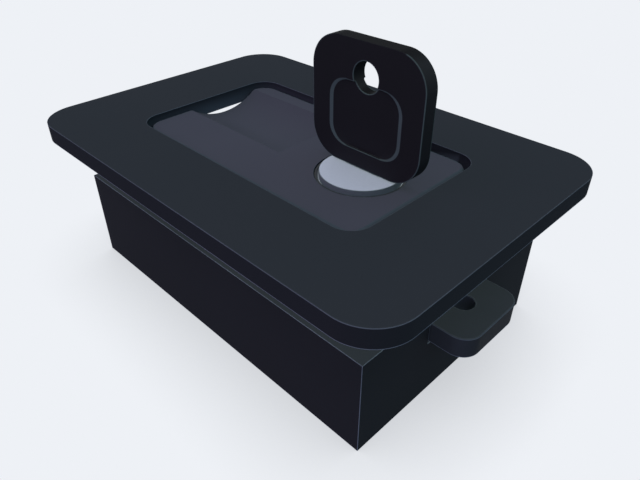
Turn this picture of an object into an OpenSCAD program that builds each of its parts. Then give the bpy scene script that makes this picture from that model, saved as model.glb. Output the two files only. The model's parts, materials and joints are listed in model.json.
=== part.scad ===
// Glove box latch: a flush paddle with a key lock, clamped through a door panel.
// The bezel sits in front of the panel and the housing behind it. Lifting the
// paddle swings a crank that draws the bolt back into the housing.
// Origin: centre of the housing's rear face. +Z points out of the panel, +X to the bolt.

/* [Bezel] */
// Length of the bezel, along the bolt
bezel_l = 104; // [100:1:116]
// Width of the bezel
bezel_w = 70; // [64:1:80]
// Thickness of the bezel plate
bezel_t = 4; // [3.6:0.2:5]
// Corner radius of the bezel, in plan
bezel_r = 8.6; // [4:0.2:14]
// Length of the paddle opening
opening_l = 66; // [64:0.5:69]
// Width of the paddle opening
opening_w = 38; // [36:0.5:39]
// Corner radius of the paddle opening
opening_r = 4.7; // [3:0.1:6]
// Wall of the collar under the bezel
collar_t = 2.5; // [2:0.1:3]
// Door panel thickness between the bezel and the housing, with its sealing tape
panel_gap = 11; // [9:0.5:14]
// Diameter of the four screw bosses under the bezel
boss_d = 5.6; // [5.2:0.1:6]

/* [Housing] */
// Length of the housing
box_l = 88; // [84:1:94]
// Width of the housing
box_w = 56; // [54:1:60]
// Height of the housing
box_h = 22; // [21.5:0.5:26]
// Wall of the housing
box_wall = 2; // [1.6:0.1:2.2]
// Thickness of the rear cover
cover_t = 2; // [1.6:0.1:3]
// Diameter of the corner posts that take the cover screws
post_d = 6.8; // [6:0.2:8]

/* [Paddle] */
// Gap between the paddle and its opening
paddle_gap = 1; // [0.9:0.1:1.2]
// Depth of the paddle's top face under the bezel's
paddle_sink = 1.2; // [1:0.1:1.6]
// Overall height of the paddle
paddle_h = 8.8; // [8.2:0.2:9.4]
// Skin and skirt thickness of the paddle
paddle_skin = 2; // [1.6:0.1:2.2]
// Rounding of the paddle's top edge at its free end
paddle_edge = 0.3; // [0.2:0.1:1.1]
// Rounding of that edge at the pivot end, which dips past the bezel as the paddle lifts
pivot_edge = 0.8; // [0.7:0.1:1.2]
// Corner radius of the paddle, in plan
paddle_r = 4; // [3:0.1:5]
// Depth of the finger scoop
scoop_depth = 3.2; // [2.4:0.1:3.4]
// Length of the scoop, from the paddle's free end
scoop_l = 31.8; // [24:0.2:32]
// Radius of the scoop across the paddle
scoop_r = 16.7; // [15:0.1:19]
// How far the scoop's middle lies beside the paddle's
scoop_y = 4.3; // [0:0.1:4.6]

/* [Pivot and crank] */
// Distance of the pivot from the centre, towards the bolt
pivot_x = 26; // [25:0.25:26.5]
// Depth of the pivot under the bezel's top face
pivot_drop = 5.5; // [5.2:0.1:5.8]
// Diameter of the two pivot pins
pin_d = 2.5; // [2:0.1:2.6]
// Reach of the crank, from the pivot to the middle of its rounded foot
crank_reach = 23.5; // [22.5:0.25:24.5]
// Thickness of the crank's steel
crank_t = 1.5; // [1.2:0.1:1.6]
// Width of the crank's legs at the foot
crank_foot = 5; // [4:0.2:5.4]
// How far the paddle lifts, in degrees
lift = 20; // [16:1:20]

/* [Bolt] */
// Width of the bolt's nose
bolt_w = 18; // [15:0.5:20]
// Thickness of the bolt's nose
bolt_t = 4.6; // [4:0.1:4.8]
// Height of the bolt's underside above the housing's rear face
bolt_z = 14; // [13.6:0.1:14.2]
// How far the nose stands out of the housing
bolt_out = 8; // [7.6:0.2:9]
// Radius of the nose's corners, in plan
bolt_r = 3.8; // [2:0.2:5]
// Thickness of the bolt's shank inside the housing
shank_t = 2.5; // [2:0.1:2.8]
// Diameter of the hole through the nose
bolt_hole_d = 4.5; // [3:0.1:5]
// Distance of that hole from the nose's end
bolt_hole_back = 7.3; // [6.5:0.1:9]
// Diameter of the rod that guides the bolt's tail
rod_d = 3; // [2.6:0.1:3.4]

/* [Lock] */
// Distance of the lock from the centre, towards the bolt
lock_x = 18; // [17.4:0.1:18.2]
// Diameter of the plug's face
plug_face_d = 16.7; // [16:0.1:17.2]
// Diameter of the barrel's head
barrel_head_d = 18.5; // [18.2:0.1:18.6]
// Diameter of the barrel's body
barrel_d = 16; // [15:0.1:16.4]
// Diameter of the plug's body
plug_d = 12; // [11.5:0.1:12.5]
// Depth of the plug's face under the bezel's top face
plug_sink = 0.5; // [0.4:0.1:1]
// Depth of the barrel's rim under the plug's face
rim_sink = 0.9; // [0.8:0.1:1.2]
// Reach of the cam from the plug's axis
cam_reach = 13; // [11:0.5:13.4]

/* [Key] */
// Width of the key's head
head_w = 26.6; // [24:0.2:28]
// Height of the key's head
head_h = 24.6; // [22:0.2:28]
// Thickness of the key's head
head_t = 3.2; // [2.8:0.1:3.6]
// Corner radius of the key's head
head_r = 6.5; // [5:0.1:8]
// Diameter of the key ring hole
ring_d = 6; // [4:0.1:7]
// Distance of that hole from the top of the head
ring_back = 6.4; // [6:0.1:8]
// Depth of the recess in each face of the head
recess_depth = 0.45; // [0.3:0.05:0.5]
// Width of the key's blade
blade_w = 8; // [7:0.1:8.4]
// Thickness of the key's blade
blade_t = 1.8; // [1.6:0.1:2]
// How far the blade stands off the plug's axis
blade_y = 1.2; // [0.8:0.1:1.4]

/* [Hidden] */
$fn = 64;

// Small gap that lets a seated piece go into its hole
fit = 0.02;
// Clearance of a pin or shaft that turns or slides in its hole
run = 0.05;
// Clearance beside flat faces that slide past each other
slip = 0.3;
// Overshoot of a cut past the face it opens
cut = 1;

// Heights of the main faces
seat_z = box_h + panel_gap;
top_z = seat_z + bezel_t;
paddle_z = top_z - paddle_sink;
paddle_l = opening_l - 2 * paddle_gap;
paddle_w = opening_w - 2 * paddle_gap;
paddle_foot = paddle_z - paddle_h;
roof_z = box_h - box_wall;

// Pivot line, and what is strung along it from the collar inwards
pivot_z = top_z - pivot_drop;
collar_y = opening_w / 2;
collar_end = opening_l / 2 - opening_r;
skirt_y = paddle_w / 2;
crank_y = skirt_y - paddle_skin;
coil_y = crank_y - crank_t;
washer_d = 2 * pin_d;
clip_t = 0.5;
clip_rim = 1;
pin_groove_d = pin_d - 0.6;
pin_end = 0.3;
torsion_wire = 0.6;
torsion_turns = 3.25;
leg_short = 2.6;
torsion_pitch = torsion_wire + 0.12;
torsion_r = pin_d / 2 + torsion_wire;
torsion_y = coil_y - torsion_wire / 2 - 0.15 - torsion_turns * torsion_pitch;
slot_end = torsion_y + torsion_wire / 2 + run;
clip_y = torsion_y - torsion_wire / 2 - 0.1 - clip_t;
pin_inner = clip_y - pin_end;

// Crank and the bolt's wings that it pushes
foot_r = crank_foot / 2;
foot_z = pivot_z - crank_reach;
hub_r = paddle_z - paddle_skin - pivot_z - 0.1;
wing_x = pivot_x - foot_r - 0.2;
wing_l = 11.3;
wing_w = 2 * skirt_y;
ear_l = 4;
ear_lap = 3;
ear_w = crank_t + ear_lap;
ear_mid = coil_y + crank_t / 2;
ear_step = 2;
tail_play = 3;
stroke = crank_reach * sin(lift);

// Bolt
bolt_tip = box_l / 2 + bolt_out;
nose_in = 10;
nose_back = box_l / 2 - nose_in;
bolt_mid = bolt_z + shank_t / 2;
tail_x = -8;
tail_w = 15;
tail_eye_l = 6;
tail_eye_w = 8;
tail_eye_h = 8;
rail_y = 5.5;
rail_w = 2;
guide_y = bolt_w / 2 + slip;
guide_drop = 5;
hold_in = 1.5;
hold_x = tail_x + hold_in;
hold_l = 6;

// Spring and rod behind the bolt's tail
rod_seat = 4;
rod_seat_d = 9;
rod_tip = tail_x + 1;
spring_front = tail_x - tail_eye_l;
spring_back = -box_l / 2 + box_wall + rod_seat;
spring_wire = 0.8;
spring_r = 3.4;
spring_turns = 9;

// Window in the housing's roof, under the paddle
cam_room = 2.6;
window_in = 0.4;
window_x0 = lock_x - cam_reach - cam_room;
window_x1 = opening_l / 2 - window_in;
window_w = opening_w - 2 * window_in;

// Screws
boss_x = [-27, 14];
boss_y = collar_y + boss_d / 2;
clamp_d = 2.6;
clamp_head_d = 4.6;
clamp_head_t = 1.8;
clamp_l = 9;
post_inset = box_wall + post_d / 2 - 0.2;
cover_screw_d = 2.2;
cover_head_d = 4.4;
cover_head_t = 1.2;
cover_screw_l = 8;
tab_l = 6;
tab_x = scoop_l - paddle_l / 2 + paddle_skin + slip + tab_l / 2;
tab_w = 4.6;
tab_y = coil_y - tab_w / 2;
arm_h = 3.5;
tab_screw_d = 2;
tab_screw_l = 3.2;
tab_boss_d = 2 * tab_screw_d + 0.4;
tab_head_d = 3.8;
tab_head_t = 1.4;
tab_z = pivot_z;

// Bumpers that the paddle's skirts rest on
bump_x = -21;
bump_d = 3;
bump_sunk = 0.8;
bump_h = 1.2;
bump_y = skirt_y - bump_d / 3;
ledge_l = 6;
ledge_w = bump_d + 1.2;
rest_z = paddle_foot - bump_h + bump_sunk;

// Lock
plug_z = top_z - plug_sink;
face_t = 1.6;
rim_z = plug_z - rim_sink;
step_z = paddle_z - 4.8;
barrel_foot = box_h - 1;
boss_foot = paddle_foot + 1.5;
lock_boss_d = barrel_d + 6;
flat_y = barrel_d / 2 - 0.9;
groove_d = barrel_d - 1.8;
barrel_clip_t = 1;
cam_t = 1.5;
cam_z = barrel_foot - cam_t - 0.2;
cam_w = 8;
cam_sq = 6;
cam_screw_d = 2.4;
cam_screw_l = 3.2;
cam_head_d = 6.4;
cam_head_t = 1.5;
wafer_n = 5;
wafer_t = 1.1;
wafer_pitch = 2.1;
wafer_w = 7;
wafer_z0 = plug_z - 2.4;
wafer_gap = 0.05;
wafer_coil_r = 0.45;
wafer_coil_y = wafer_w / 2 - 1.4;

// Key
blade_foot = plug_z - 12.6;
blade_cut = 1;
blade_point = 2.1;
shoulder_h = 4;
tang_hole_d = 2.4;
tang_hole_back = 3;
head_x = lock_x + 0.4;
head_z = plug_z + 0.4;
shoulder_w = blade_w + 4;
blade_in = 12;
pad_w = 17.4;
pad_h = 13.2;
pad_r = 3.9;
pad_depth = min(recess_depth, (head_t - blade_t) / 2 - 0.2);
pad_slope = 0.66;
pad_edge_depth = 0.12;
pad_dish = 3.5;
pad_z = head_z + 3.7;

// Square with rounded corners, drawn from straight sides and true arcs
module rounded(l, w, r) {
    square([l - 2 * r, w], center = true);
    square([l, w - 2 * r], center = true);
    for (x = [-1, 1], y = [-1, 1])
        translate([x * (l / 2 - r), y * (w / 2 - r)]) circle(r);
}

// Runs its children once on each side of the latch
module both_sides() {
    children();
    mirror([0, 1, 0]) children();
}

// Cylinder along +Y from y = y0
module rod_y(x, y0, z, d, l) {
    translate([x, y0, z]) rotate([-90, 0, 0]) cylinder(d = d, h = l);
}

// Cylinder along +X from x = x0
module rod_x(x0, y, z, d, l) {
    translate([x0, y, z]) rotate([0, 90, 0]) cylinder(d = d, h = l);
}

// Screw hanging down from its tip: head below, shank above
module screw_up(d, l, head_d, head_t) {
    cylinder(d = head_d, h = head_t);
    translate([0, 0, head_t]) cylinder(d = d, h = l);
}

// Ring of a wire's points about p, in the plane of Z and of the direction at the angle out
function wire_ring(p, out, wire, sides) = [
    for (i = [0 : sides - 1])
        let (b = 360 * i / sides, q = wire / 2 * cos(b))
            p + [q * cos(out), q * sin(out), wire / 2 * sin(b)]
];

// Closed tube through the given points, with the outward direction of the bend at each
module wire_form(path, outs, wire, sides) {
    last = len(path) - 1;
    points = [for (k = [0 : last]) each wire_ring(path[k], outs[k], wire, sides)];
    low = [for (k = [0 : last - 1], i = [0 : sides - 1])
        [k * sides + i, (k + 1) * sides + (i + 1) % sides, (k + 1) * sides + i]];
    high = [for (k = [0 : last - 1], i = [0 : sides - 1])
        [k * sides + i, k * sides + (i + 1) % sides, (k + 1) * sides + (i + 1) % sides]];
    start = [[for (i = [sides - 1 : -1 : 0]) i]];
    end = [[for (i = [0 : sides - 1]) last * sides + i]];
    polyhedron(points, concat(low, high, start, end));
}

// Angles of a winding's points, and the points themselves
function wind_angles(turns, per_turn) =
    [for (k = [0 : ceil(turns * per_turn)]) 360 * turns * k / ceil(turns * per_turn)];
function wind_points(r, pitch, angles) = [for (a = angles) [r * cos(a), r * sin(a), pitch * a / 360]];

// Wire wound round Z, rising by pitch a turn
module coil(r, wire, pitch, turns, per_turn = 12, sides = 6) {
    angles = wind_angles(turns, per_turn);
    wire_form(wind_points(r, pitch, angles), angles, wire, sides);
}

// Front plate with the paddle's opening, its collar and the four screw bosses
module bezel() {
    color("#2a2e35")
    difference() {
        union() {
            difference() {
                union() {
                    translate([0, 0, seat_z]) linear_extrude(bezel_t) rounded(bezel_l, bezel_w, bezel_r);
                    translate([0, 0, box_h]) linear_extrude(panel_gap + cut)
                        rounded(opening_l + 2 * collar_t, opening_w + 2 * collar_t, opening_r + collar_t);
                    both_sides()
                        for (x = boss_x)
                            translate([x, boss_y, box_h]) cylinder(d = boss_d, h = panel_gap + cut);
                }
                translate([0, 0, box_h - cut]) linear_extrude(panel_gap + bezel_t + 2 * cut)
                    rounded(opening_l, opening_w, opening_r);
                translate([-bezel_l / 2, -collar_y - cut, box_h - cut])
                    cube([bezel_l / 2 - collar_end, 2 * collar_y + 2 * cut, panel_gap + cut]);
                both_sides()
                    translate([-bezel_l / 2, collar_y + cut / 2, box_h - cut])
                        cube([bezel_l / 2 - collar_end, collar_t + cut, panel_gap + cut]);
            }
            both_sides()
                translate([bump_x - ledge_l / 2, bump_y - ledge_w / 2, box_h])
                    cube([ledge_l, collar_y - bump_y + ledge_w / 2 + cut / 2, rest_z - box_h]);
        }
        both_sides() {
            rod_y(pivot_x, collar_y - cut, pivot_z, pin_d + 2 * fit, collar_t + 2 * cut);
            for (x = boss_x)
                translate([x, boss_y, box_h - cut]) cylinder(d = clamp_d + 2 * fit, h = clamp_l + cut);
            translate([bump_x, bump_y, rest_z - bump_sunk]) cylinder(d = bump_d + 2 * fit, h = bump_h);
        }
    }
}

// Box behind the panel: the bolt slides in it, and the paddle's crank reaches into it
module housing() {
    color("#1e1c26")
    difference() {
        union() {
            difference() {
                translate([-box_l / 2, -box_w / 2, 0]) cube([box_l, box_w, box_h]);
                translate([-box_l / 2 + box_wall, -box_w / 2 + box_wall, -cut])
                    cube([box_l - 2 * box_wall, box_w - 2 * box_wall, roof_z + cut]);
                translate([window_x0, -window_w / 2, roof_z - cut])
                    cube([window_x1 - window_x0, window_w, box_wall + 2 * cut]);
            }
            for (x = [-1, 1], y = [-1, 1])
                translate([x * (box_l / 2 - post_inset), y * (box_w / 2 - post_inset), cover_t])
                    cylinder(d = post_d, h = roof_z - cover_t + cut / 2);
            both_sides()
                translate([nose_back, guide_y, bolt_z - guide_drop])
                    cube([nose_in - cut, rail_w, roof_z - bolt_z + guide_drop + cut / 2]);
            translate([-box_l / 2 + cut, -rod_seat_d / 2, bolt_mid - rod_seat_d / 2])
                cube([box_wall + rod_seat - cut, rod_seat_d, rod_seat_d]);
            translate([hold_x, -rail_y, bolt_z + shank_t + slip])
                cube([hold_l, 2 * rail_y, roof_z - bolt_z - shank_t - slip + cut / 2]);
        }
        translate([nose_back, -bolt_w / 2 - slip, bolt_z - slip])
            cube([box_l, bolt_w + 2 * slip, bolt_t + 2 * slip]);
        rod_x(-box_l / 2 + cut, 0, bolt_mid, rod_d + 2 * fit, box_wall + rod_seat);
        for (x = [-1, 1], y = [-1, 1])
            translate([x * (box_l / 2 - post_inset), y * (box_w / 2 - post_inset), cover_t - cut])
                cylinder(d = cover_screw_d + 2 * fit, h = cover_screw_l + cut);
        both_sides()
            for (x = boss_x)
                translate([x, boss_y, roof_z - clamp_head_t - slip]) {
                    cylinder(d = clamp_head_d + 2 * run, h = clamp_head_t + slip);
                    cylinder(d = clamp_d + 2 * run, h = clamp_head_t + slip + box_wall + cut);
                }
    }
}

// Plate let into the back of the housing, with the two rails that the bolt rides on
module rear_cover() {
    color("#1e1c26")
    difference() {
        union() {
            translate([-box_l / 2 + box_wall + run, -box_w / 2 + box_wall + run, 0])
                cube([box_l - 2 * box_wall - 2 * run, box_w - 2 * box_wall - 2 * run, cover_t]);
            both_sides()
                translate([tail_x, rail_y, 0])
                    cube([box_l / 2 - box_wall - 1 - tail_x, rail_w, bolt_z - slip / 2]);
        }
        for (x = [-1, 1], y = [-1, 1])
            translate([x * (box_l / 2 - post_inset), y * (box_w / 2 - post_inset), -cut]) {
                cylinder(d = cover_screw_d + 2 * run, h = cover_t + 2 * cut);
                cylinder(d = cover_head_d + 2 * run, h = cover_head_t + cut);
            }
    }
}

// Four screws that draw the housing up to the bezel through the panel
module clamp_screws() {
    color("silver")
    both_sides()
        for (x = boss_x)
            translate([x, boss_y, roof_z - clamp_head_t])
                difference() {
                    screw_up(clamp_d, clamp_l, clamp_head_d, clamp_head_t);
                    translate([0, 0, -cut]) cylinder(d = clamp_d, h = clamp_head_t / 2 + cut, $fn = 6);
                }
}

// Four screws that hold the rear cover, their heads let in flush
module cover_screws() {
    color("silver")
    for (x = [-1, 1], y = [-1, 1])
        translate([x * (box_l / 2 - post_inset), y * (box_w / 2 - post_inset), 0])
            difference() {
                screw_up(cover_screw_d, cover_screw_l - 0.6, cover_head_d, cover_head_t);
                translate([0, 0, -cut]) cylinder(d = cover_screw_d, h = cover_head_t / 2 + cut, $fn = 6);
            }
}

// Two rubber buttons under the paddle's skirts
module paddle_bumpers() {
    color("#202020")
    both_sides()
        translate([bump_x, bump_y, rest_z - bump_sunk]) cylinder(d = bump_d, h = bump_h);
}

// Two pins pressed into the collar, on which the paddle turns: a clip groove and a slot at the inner end
module pivot_pins() {
    color("silver")
    both_sides()
        difference() {
            rod_y(pivot_x, pin_inner, pivot_z, pin_d, collar_y + collar_t - pin_inner);
            difference() {
                rod_y(pivot_x, clip_y, pivot_z, pin_d + cut, clip_t);
                rod_y(pivot_x, clip_y - cut, pivot_z, pin_groove_d, clip_t + 2 * cut);
            }
            translate([pivot_x - pin_d, pin_inner - cut, pivot_z - torsion_wire / 2 - run])
                cube([2 * pin_d, slot_end - pin_inner + cut, torsion_wire + 2 * run]);
        }
}

// Retaining clips in the grooves at the pins' inner ends
module pin_clips() {
    color("silver")
    both_sides()
        difference() {
            rod_y(pivot_x, clip_y + fit, pivot_z, pin_d + 2 * clip_rim, clip_t - 2 * fit);
            rod_y(pivot_x, clip_y - cut, pivot_z, pin_groove_d + 2 * fit, clip_t + 2 * cut);
            translate([pivot_x - pin_d * 0.3, clip_y - cut, pivot_z - pin_d * 2])
                cube([pin_d * 0.6, clip_t + 2 * cut, pin_d * 2]);
        }
}

// Nylon washers that take up the gap between the paddle and the collar
module pivot_washers() {
    color("white")
    both_sides()
        difference() {
            rod_y(pivot_x, skirt_y + run, pivot_z, washer_d, paddle_gap - run);
            rod_y(pivot_x, skirt_y - cut, pivot_z, pin_d + 2 * fit, paddle_gap + 2 * cut);
        }
}

// Torsion springs on the pins: the inner end lies in the pin's slot, the long leg presses on the crank's tab
module paddle_springs() {
    angles = wind_angles(torsion_turns, 12);
    winding = wind_points(torsion_r, -torsion_pitch, angles);
    top = winding[len(winding) - 1];
    path = concat([[-pin_d / 4, 0, 0]], winding, [[tab_x + leg_short - pivot_x, top[1], top[2]]]);
    outs = concat([-90, -45], [for (i = [1 : len(angles) - 1]) angles[i]], [90]);
    color("silver")
    both_sides()
        translate([pivot_x, torsion_y, pivot_z]) rotate([90, 0, 0])
            wire_form(path, outs, torsion_wire, 6);
}

// Steel rod in the housing's rear wall, which the bolt's tail slides on
module spring_rod() {
    color("silver")
    rod_x(-box_l / 2 + cut, 0, bolt_mid, rod_d, rod_tip + box_l / 2 - cut);
}

// Compression spring round the rod, which pushes the bolt out
module bolt_spring() {
    pitch = (spring_front - spring_back - spring_wire) / spring_turns;
    color("silver")
    translate([spring_back + spring_wire / 2, 0, bolt_mid]) rotate([0, 90, 0])
        coil(spring_r, spring_wire, pitch, spring_turns);
}

// Sliding bolt: rounded nose, thin shank, wings for the crank and an eye for the rod
module bolt() {
    color("#2a2e35")
    difference() {
        union() {
            translate([nose_back, -bolt_w / 2, bolt_z])
                cube([bolt_tip - bolt_r - nose_back, bolt_w, bolt_t]);
            translate([nose_back, -bolt_w / 2 + bolt_r, bolt_z])
                cube([bolt_tip - nose_back, bolt_w - 2 * bolt_r, bolt_t]);
            both_sides()
                translate([bolt_tip - bolt_r, bolt_w / 2 - bolt_r, bolt_z]) cylinder(r = bolt_r, h = bolt_t);
            translate([wing_x - wing_l, -bolt_w / 2, bolt_z])
                cube([nose_back - wing_x + wing_l + cut, bolt_w, shank_t]);
            translate([wing_x - wing_l, -wing_w / 2, bolt_z]) cube([wing_l, wing_w, shank_t]);
            translate([tail_x, -tail_w / 2, bolt_z]) cube([wing_x - wing_l - tail_x + cut, tail_w, shank_t]);
            translate([spring_front, -tail_eye_w / 2, bolt_mid - tail_eye_h / 2])
                cube([tail_eye_l, tail_eye_w, tail_eye_h]);
            both_sides() {
                translate([wing_x - ear_l, ear_mid - ear_w / 2, foot_z - foot_r])
                    cube([ear_l, ear_w, bolt_z - foot_z + foot_r + cut]);
                translate([wing_x - wing_l, ear_mid + foot_r / 2, bolt_z]) rotate([90, 0, 0])
                    linear_extrude(foot_r)
                        polygon([[0, cut], [wing_l - ear_l + cut, cut],
                                 [wing_l - ear_l + cut, foot_z - foot_r - bolt_z + ear_step],
                                 [wing_l - ear_l, foot_z - foot_r - bolt_z + ear_step]]);
            }
        }
        translate([bolt_tip - bolt_hole_back, 0, bolt_z - cut])
            cylinder(d = bolt_hole_d, h = bolt_t + 2 * cut);
        rod_x(spring_front - cut, 0, bolt_mid, rod_d + 2 * run, tail_eye_l + 2 * cut);
        translate([tail_x, -rod_d / 2 - slip, bolt_z - cut])
            cube([stroke + tail_play, rod_d + 2 * slip, shank_t + 2 * cut]);
    }
}

// Cylinder lying along the scoop, grown by a wall
module scoop_form(wall = 0) {
    translate([-paddle_l / 2 - cut, scoop_y, paddle_z - scoop_depth + scoop_r]) rotate([0, 90, 0])
        cylinder(r = scoop_r + wall, h = cut + scoop_l + wall, $fn = 128);
}

// Block with the paddle's outline and its rounded top edge, from the foot up
module paddle_block() {
    translate([0, 0, paddle_foot])
        hull()
            for (x = [-1, 1], y = [-1, 1]) {
                edge = x < 0 ? paddle_edge : pivot_edge;
                side_h = paddle_h - edge;
                translate([x * (paddle_l / 2 - paddle_r), y * (paddle_w / 2 - paddle_r), 0])
                    rotate_extrude($fn = 48) {
                        square([paddle_r, side_h]);
                        square([paddle_r - edge, paddle_h]);
                        translate([paddle_r - edge, side_h])
                            intersection() {
                                circle(edge, $fn = 24);
                                square(edge);
                            }
                    }
            }
}

// Flush paddle: a thin shell with a finger scoop, a stepped lock hole and bored skirts
module paddle() {
    color("#3d404b")
    difference() {
        union() {
            difference() {
                paddle_block();
                translate([-paddle_l / 2 + paddle_skin, -crank_y, paddle_foot - cut])
                    cube([paddle_l - 2 * paddle_skin, 2 * crank_y, paddle_h - paddle_skin + cut]);
            }
            intersection() {
                translate([-paddle_l / 2, -crank_y - cut / 2, paddle_foot])
                    cube([scoop_l + paddle_skin, 2 * crank_y + cut, paddle_h - paddle_skin / 2]);
                scoop_form(paddle_skin);
            }
            translate([lock_x, 0, boss_foot])
                cylinder(d = lock_boss_d, h = paddle_z - boss_foot - paddle_skin / 2);
            both_sides()
                translate([tab_x, tab_y, tab_z + crank_t])
                    cylinder(d = tab_boss_d, h = paddle_z - tab_z - crank_t - paddle_skin / 2);
        }
        scoop_form();
        translate([lock_x, 0, step_z]) cylinder(d = barrel_head_d + 0.3, h = paddle_h);
        translate([lock_x, 0, boss_foot - cut])
            intersection() {
                cylinder(d = barrel_d + 2 * fit, h = paddle_h);
                translate([-barrel_d, -flat_y - fit, 0]) cube([2 * barrel_d, 2 * flat_y + 2 * fit, paddle_h]);
            }
        both_sides() {
            rod_y(pivot_x, crank_y - cut, pivot_z, pin_d + 2 * run, paddle_skin + 2 * cut);
            translate([tab_x, tab_y, tab_z]) cylinder(d = tab_screw_d + 2 * fit, h = tab_screw_l + 0.1);
        }
    }
}

// Outline of one crank plate, seen from the side, with the pivot at the origin
module crank_outline() {
    circle(hub_r);
    translate([0, -crank_reach]) circle(foot_r);
    polygon([[-foot_r, 0], [-foot_r, -crank_reach], [foot_r, -crank_reach], [hub_r, 0]]);
    translate([tab_x - tab_l / 2 - pivot_x, -arm_h]) square([pivot_x - tab_x + tab_l / 2, arm_h + crank_t]);
}

// Bent steel crank: two side plates with feet, a cross web, and tabs under the paddle
module crank() {
    web_x = foot_r + 0.3;
    color("#8a8f98")
    difference() {
        union() {
            both_sides() {
                translate([pivot_x, crank_y, pivot_z]) rotate([90, 0, 0])
                    linear_extrude(crank_t) crank_outline();
                translate([tab_x - tab_l / 2, coil_y - tab_w, pivot_z])
                    cube([tab_l, tab_w + cut / 2, crank_t]);
            }
            translate([pivot_x + web_x - crank_t, -coil_y - cut / 2, box_h + 1])
                cube([crank_t, 2 * coil_y + cut, 3]);
        }
        both_sides() {
            rod_y(pivot_x, coil_y - cut, pivot_z, pin_d + 2 * run, crank_t + 2 * cut);
            translate([tab_x, tab_y, pivot_z - cut])
                cylinder(d = tab_screw_d + 2 * run, h = crank_t + 2 * cut);
        }
    }
}

// Two screws that hold the crank's tabs to the paddle
module crank_screws() {
    color("silver")
    both_sides()
        translate([tab_x, tab_y, pivot_z - tab_head_t])
            screw_up(tab_screw_d, tab_screw_l, tab_head_d, tab_head_t);
}

// Lock barrel: a thin rim round the plug's face, a flatted body and a clip groove
module lock_barrel() {
    clip_z = boss_foot - barrel_clip_t;
    color("#6b727c")
    difference() {
        union() {
            translate([lock_x, 0, step_z]) cylinder(d = barrel_head_d, h = rim_z - step_z);
            translate([lock_x, 0, barrel_foot]) intersection() {
                cylinder(d = barrel_d, h = step_z - barrel_foot + cut / 2);
                translate([-barrel_d, -flat_y, 0])
                    cube([2 * barrel_d, 2 * flat_y, step_z - barrel_foot + cut / 2]);
            }
        }
        translate([lock_x, 0, barrel_foot - cut]) cylinder(d = plug_d + 2 * run, h = plug_z);
        translate([lock_x, 0, plug_z - face_t - run]) cylinder(d = plug_face_d + 2 * run, h = 2 * face_t);
        translate([lock_x, 0, clip_z - fit])
            difference() {
                cylinder(d = 2 * barrel_d, h = barrel_clip_t + fit);
                translate([0, 0, -cut]) cylinder(d = groove_d, h = barrel_clip_t + 2 * cut);
            }
    }
}

// Horseshoe clip that holds the barrel up against the paddle's boss
module barrel_clip() {
    color("silver")
    translate([lock_x, 0, boss_foot - barrel_clip_t + fit / 2])
        difference() {
            cylinder(d = lock_boss_d - 1, h = barrel_clip_t - fit);
            translate([0, 0, -cut]) cylinder(d = groove_d + 2 * fit, h = barrel_clip_t + 2 * cut);
            translate([-lock_boss_d, -groove_d / 2 + 0.6, -cut])
                cube([lock_boss_d, groove_d - 1.2, barrel_clip_t + 2 * cut]);
        }
}

// Turning plug with its face, keyway, wafer slots and a square tail for the cam
module lock_plug() {
    keyway_w = blade_w + 0.2;
    keyway_t = blade_t + 0.2;
    color("#9aa3b3")
    difference() {
        union() {
            translate([lock_x, 0, plug_z - face_t]) cylinder(d = plug_face_d, h = face_t);
            translate([lock_x, 0, barrel_foot - 0.2])
                cylinder(d = plug_d, h = plug_z - barrel_foot - face_t / 2);
            translate([lock_x - cam_sq / 2, -cam_sq / 2, cam_z])
                cube([cam_sq, cam_sq, cam_t + cut]);
        }
        translate([lock_x - keyway_w / 2, blade_y - keyway_t / 2, blade_foot - 0.3])
            cube([keyway_w, keyway_t, plug_z]);
        for (i = [0 : wafer_n - 1])
            translate([lock_x - plug_d, -wafer_w / 2, wafer_z0 - i * wafer_pitch - wafer_t])
                cube([2 * plug_d, wafer_w, wafer_t]);
        translate([lock_x, 0, cam_z - cut]) cylinder(d = cam_screw_d + 2 * fit, h = cam_screw_l + 0.1 + cut);
    }
}

// Wafers in the plug's slots, each with a window for the blade and a seat for its spring
module wafers() {
    color("#b8963e")
    for (i = [0 : wafer_n - 1])
        translate([lock_x, 0, wafer_z0 - i * wafer_pitch - wafer_t + wafer_gap])
            difference() {
                intersection() {
                    cylinder(d = plug_d, h = wafer_t - 2 * wafer_gap);
                    translate([-plug_d, -wafer_w / 2 + wafer_gap, 0])
                        cube([2 * plug_d, wafer_w - 2 * wafer_gap, wafer_t]);
                }
                translate([-blade_w / 2 - 0.1, blade_y - blade_t / 2 - 0.1, -cut])
                    cube([blade_w + 0.2, blade_t + 0.2, wafer_t + 2 * cut]);
                translate([-1.6, -wafer_coil_y - wafer_coil_r - 0.3, -cut])
                    cube([3.2, 2 * wafer_coil_r + 0.6, wafer_t + 2 * cut]);
            }
}

// One small spring beside the blade in each wafer
module wafer_springs() {
    wire = 0.24;
    turns = 4;
    pitch = (3 - wire) / turns;
    color("silver")
    for (i = [0 : wafer_n - 1])
        translate([lock_x - 1.5 + wire / 2, -wafer_coil_y, wafer_z0 - i * wafer_pitch - wafer_t / 2])
            rotate([0, 90, 0]) coil(wafer_coil_r - wire / 2, wire, pitch, turns, 6, 4);
}

// Locking cam on the plug's tail
module cam() {
    color("#8a8f98")
    difference() {
        union() {
            translate([lock_x, 0, cam_z]) cylinder(d = cam_w + 1, h = cam_t);
            translate([lock_x - cam_reach + cam_w / 2, -cam_w / 2, cam_z])
                cube([cam_reach - cam_w / 2, cam_w, cam_t]);
            translate([lock_x - cam_reach + cam_w / 2, 0, cam_z]) cylinder(d = cam_w, h = cam_t);
        }
        translate([lock_x - cam_sq / 2 - fit, -cam_sq / 2 - fit, cam_z - cut])
            cube([cam_sq + 2 * fit, cam_sq + 2 * fit, cam_t + 2 * cut]);
    }
}

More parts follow.
